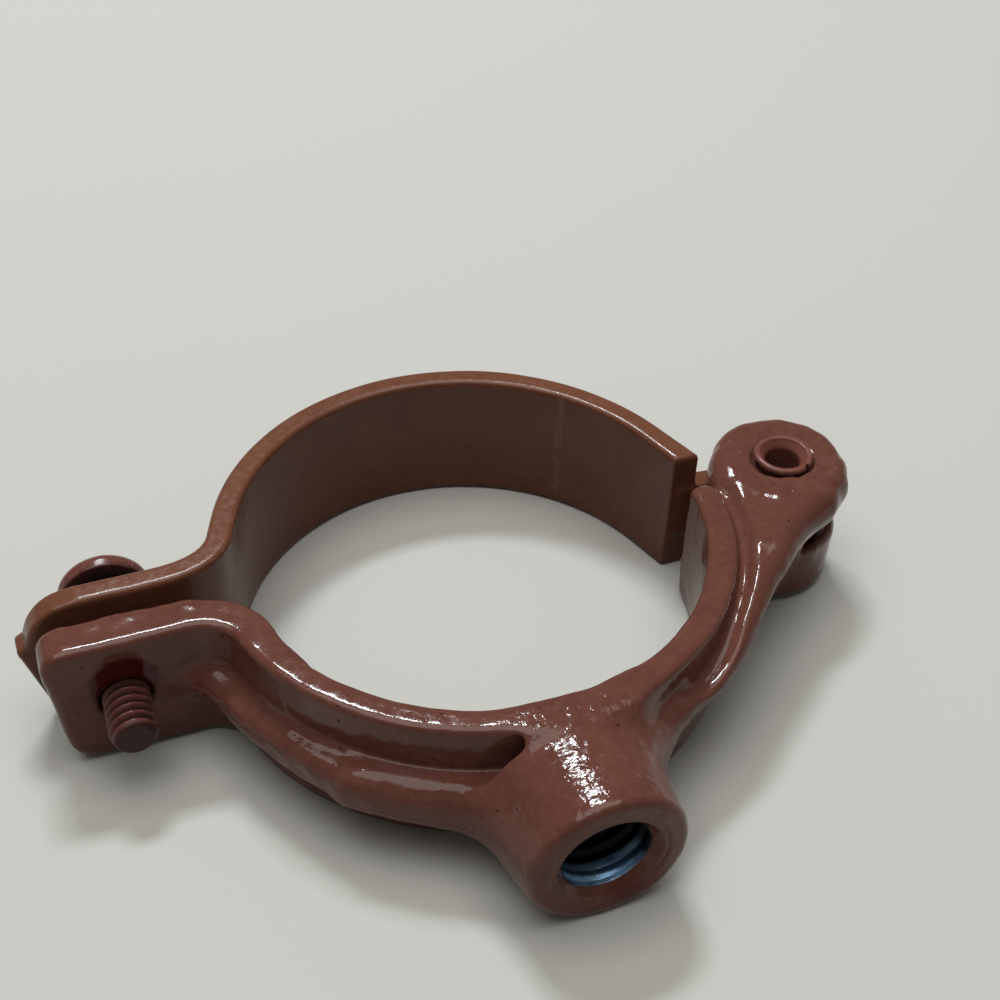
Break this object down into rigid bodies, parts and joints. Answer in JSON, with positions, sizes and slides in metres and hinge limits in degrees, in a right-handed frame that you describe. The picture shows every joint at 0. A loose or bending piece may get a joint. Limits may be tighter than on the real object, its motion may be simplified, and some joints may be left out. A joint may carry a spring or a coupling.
{
  "type": "hinged split ring pipe clamp",
  "caption": "Hinged split ring pipe hanger: a cast half with a tapped rod boss, a bent strap half that swings on a hollow rivet, and a slotted screw that closes the two ears.",
  "frame": {"origin": "on the pipe's axis, in the plane of the ring's underside as it lies on its side", "axes": "+Z along the pipe's axis (across the width of the ring), +X along the parting plane from the screw ears to the hinge, -Y out of the rod boss"},
  "size_m": [0.091, 0.0658, 0.0163],
  "materials": {
    "coated_casting": "glossy copper-brown coating over the as-cast skin",
    "coated_strap": "glossy copper-brown coating over stamped steel",
    "coated_rivet": "glossy copper-brown coating",
    "coated_screw": "glossy copper-brown coating, thin on the thread"
  },
  "bodies": {
    "cast_half": {"cast_half": "coated_casting", "hinge_rivet": "coated_rivet"},
    "strap_half": {"strap_half": "coated_strap"},
    "clamp_screw": {"clamp_screw": "coated_screw"}
  },
  "joints": [
    {"name": "strap_hinge", "type": "hinge", "parent": "cast_half", "child": "strap_half", "pos_m": [0.0369, 0, 0.0081], "axis": [0, 0, -1], "range_deg": [-1.2, 140]},
    {"name": "screw_travel", "type": "slide", "parent": "strap_half", "child": "clamp_screw", "axis": [0.0384, 0.9993, 0], "range_m": [-0.0048, 0.0105]}
  ]
}
